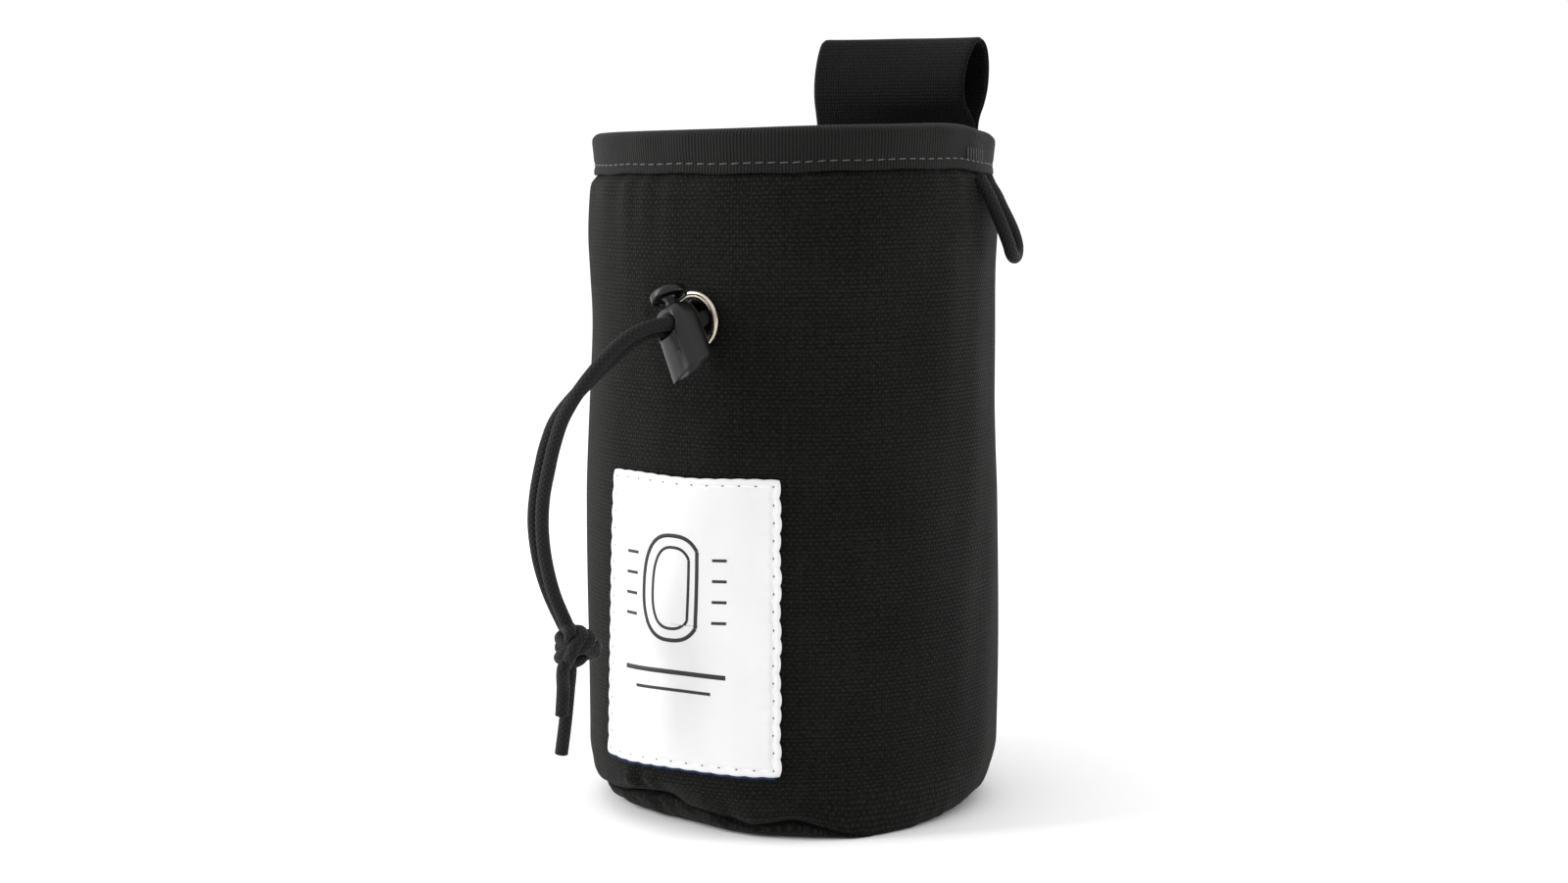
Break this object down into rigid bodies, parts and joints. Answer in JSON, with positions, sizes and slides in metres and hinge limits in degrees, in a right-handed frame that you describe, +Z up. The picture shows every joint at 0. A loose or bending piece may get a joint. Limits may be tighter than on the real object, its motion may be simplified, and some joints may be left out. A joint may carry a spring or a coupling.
{
  "type": "climbing chalk bag",
  "caption": "Soft round cloth bag, open at the top, with a webbing belt loop, a side cord loop, a patch label and a drawcord with a cord lock.",
  "frame": {"origin": "on the floor at the middle of the base", "axes": "+Z up, -Y the front with the grommet and label, +Y the back with the belt loop, +X the side with the cord loop"},
  "size_m": [0.1173, 0.1503, 0.2038],
  "materials": {
    "body_cloth": "plain weave, matte",
    "binding_tape": "ribbed tape, matte",
    "webbing": "woven webbing",
    "cord": "braided cord",
    "label_cloth": "smooth woven patch",
    "grommet_metal": "polished nickel",
    "lock_plastic": "satin moulded plastic"
  },
  "bodies": {
    "bag": {"shell": "body_cloth", "base_panel": "body_cloth", "rim_binding": "binding_tape", "belt_loop": "webbing", "label": "label_cloth", "grommet": "grommet_metal", "cord_lock_barrel": "lock_plastic", "drawcord_ring": "cord", "drawcord_front": "cord", "drawcord_back": "cord", "cord_knot": "cord", "side_loop": "cord"},
    "plunger": {"cord_lock_plunger": "lock_plastic"}
  },
  "joints": [
    {"name": "plunger_press", "type": "slide", "parent": "bag", "child": "plunger", "axis": [0.4762, -0.1799, -0.8607], "range_m": [0, 0.0022], "stiffness_N_per_m": 550, "springref_m": -0.003}
  ]
}
